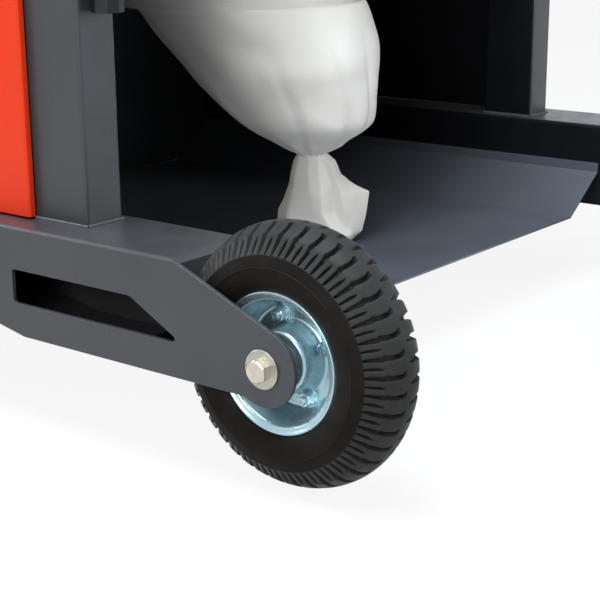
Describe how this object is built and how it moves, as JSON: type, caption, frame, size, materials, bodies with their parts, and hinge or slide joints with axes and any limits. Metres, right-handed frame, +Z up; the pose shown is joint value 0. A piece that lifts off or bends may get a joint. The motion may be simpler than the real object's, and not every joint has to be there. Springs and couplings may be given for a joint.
{
  "type": "walk behind sweeper",
  "caption": "Walk-behind vacuum sweeper with roller broom, drop-down dust bag over a tray, block-tread rear wheels and swivel casters.",
  "frame": {"origin": "centre of the machine on the floor, midway between its front and rear ends and its two sides", "axes": "-Y is the way the machine drives, +X its left side, +Z up"},
  "size_m": [1.048, 1.3196, 1.005],
  "materials": {
    "frame_coat": "satin powder coat, charcoal grey",
    "orange_coat": "satin powder coat, orange red",
    "black_coat": "satin black paint",
    "zinc_plate": "bright zinc plating, bluish",
    "bolt_steel": "plain bright steel",
    "tyre_rubber": "matt black rubber",
    "black_rubber": "matt black rubber",
    "black_plastic": "moulded black plastic",
    "red_plastic": "moulded red plastic",
    "bag_film": "translucent white film",
    "filter_paper": "pleated filter paper",
    "bristle": "nylon bristle"
  },
  "bodies": {
    "chassis": {"rail_left": "frame_coat", "rail_right": "frame_coat", "tray": "frame_coat", "bulkhead": "black_coat", "rubber_flap": "black_rubber", "post_rear_left": "frame_coat", "post_rear_right": "frame_coat", "post_front_left": "frame_coat", "post_front_right": "frame_coat", "upper_side_left": "frame_coat", "upper_side_right": "frame_coat", "upper_cross_front": "frame_coat", "upper_cross_rear": "frame_coat", "side_panel_left": "orange_coat", "side_panel_right": "orange_coat", "front_panel": "orange_coat", "battery_deck": "frame_coat", "battery_left": "black_plastic", "battery_right": "black_plastic", "hopper_deck": "frame_coat", "hopper": "frame_coat", "motor_head": "black_coat", "filter_cartridge": "filter_paper", "bag_clamp": "bolt_steel", "bag": "bag_film", "bag_tie": "bag_film", "bag_tail": "bag_film", "suction_duct": "black_plastic", "broom_housing": "frame_coat", "front_skirt": "black_rubber", "caster_plate_left": "zinc_plate", "caster_plate_right": "zinc_plate", "axle_bolt_left": "bolt_steel", "axle_bolt_right": "bolt_steel", "push_handle": "black_coat", "grip_left": "black_rubber", "grip_right": "black_rubber", "control_box": "black_plastic"},
    "rear_wheel_left": {"tyre_left": "tyre_rubber", "rim_outer_left": "zinc_plate", "rim_inner_left": "zinc_plate", "hub_left": "bolt_steel"},
    "caster_left": {"caster_fork_left": "zinc_plate"},
    "caster_wheel_left": {"caster_wheel_left": "black_rubber"},
    "latch_left": {"latch_left": "bolt_steel"},
    "rear_wheel_right": {"tyre_right": "tyre_rubber", "rim_outer_right": "zinc_plate", "rim_inner_right": "zinc_plate", "hub_right": "bolt_steel"},
    "caster_right": {"caster_fork_right": "zinc_plate"},
    "caster_wheel_right": {"caster_wheel_right": "black_rubber"},
    "latch_right": {"latch_right": "bolt_steel"},
    "broom_arms": {"broom_arms": "black_coat"},
    "roller": {"roller_broom": "bristle", "broom_shaft": "bolt_steel"},
    "lift_lever": {"lift_lever": "black_coat", "lever_knob": "black_plastic"},
    "battery_lid": {"battery_lid": "orange_coat"},
    "stop_button": {"stop_button": "red_plastic"},
    "key_switch": {"key_switch": "bolt_steel"}
  },
  "joints": [
    {"name": "rear_wheel_left_spin", "type": "hinge", "parent": "chassis", "child": "rear_wheel_left", "pos_m": [0.4617, 0.5349, 0.1252], "axis": [1, 0, 0], "continuous": true},
    {"name": "caster_left_swivel", "type": "hinge", "parent": "chassis", "child": "caster_left", "pos_m": [0.4585, -0.5251, 0.1], "axis": [0, 0, 1], "continuous": true},
    {"name": "caster_wheel_left_spin", "type": "hinge", "parent": "caster_left", "child": "caster_wheel_left", "pos_m": [0.4585, -0.4931, 0.05], "axis": [1, 0, 0], "continuous": true},
    {"name": "latch_left_open", "type": "hinge", "parent": "chassis", "child": "latch_left", "pos_m": [0.1953, 0.0569, 0.708], "axis": [0, 1, 0], "range_deg": [0, 100]},
    {"name": "rear_wheel_right_spin", "type": "hinge", "parent": "chassis", "child": "rear_wheel_right", "pos_m": [-0.4617, 0.5349, 0.1252], "axis": [1, 0, 0], "continuous": true},
    {"name": "caster_right_swivel", "type": "hinge", "parent": "chassis", "child": "caster_right", "pos_m": [-0.4585, -0.5251, 0.1], "axis": [0, 0, 1], "continuous": true},
    {"name": "caster_wheel_right_spin", "type": "hinge", "parent": "caster_right", "child": "caster_wheel_right", "pos_m": [-0.4585, -0.4931, 0.05], "axis": [1, 0, 0], "continuous": true},
    {"name": "latch_right_open", "type": "hinge", "parent": "chassis", "child": "latch_right", "pos_m": [-0.1953, 0.0569, 0.708], "axis": [0, -1, 0], "range_deg": [0, 100]},
    {"name": "broom_lift", "type": "hinge", "parent": "chassis", "child": "broom_arms", "pos_m": [0, -0.3901, 0.245], "axis": [-1, 0, 0], "range_deg": [0, 6]},
    {"name": "broom_spin", "type": "hinge", "parent": "broom_arms", "child": "roller", "pos_m": [0, -0.5051, 0.1315], "axis": [1, 0, 0], "continuous": true},
    {"name": "lift_lever_pull", "type": "hinge", "parent": "chassis", "child": "lift_lever", "pos_m": [-0.3315, 0.2992, 0.664], "axis": [-1, 0, 0], "range_deg": [0, 36]},
    {"name": "battery_lid_open", "type": "hinge", "parent": "chassis", "child": "battery_lid", "pos_m": [0, -0.2261, 0.6886], "axis": [-1, 0, 0], "range_deg": [0, 75]},
    {"name": "stop_button_press", "type": "slide", "parent": "chassis", "child": "stop_button", "axis": [0, -1, 0], "range_m": [0, 0.004], "stiffness_N_per_m": 600},
    {"name": "key_turn", "type": "hinge", "parent": "chassis", "child": "key_switch", "pos_m": [-0.055, 0.6357, 0.9297], "axis": [0, 1, 0], "range_deg": [0, 90]}
  ],
  "couplings": [
    {"joint": "lift_lever_pull", "follows": "broom_lift", "ratio": 6}
  ]
}
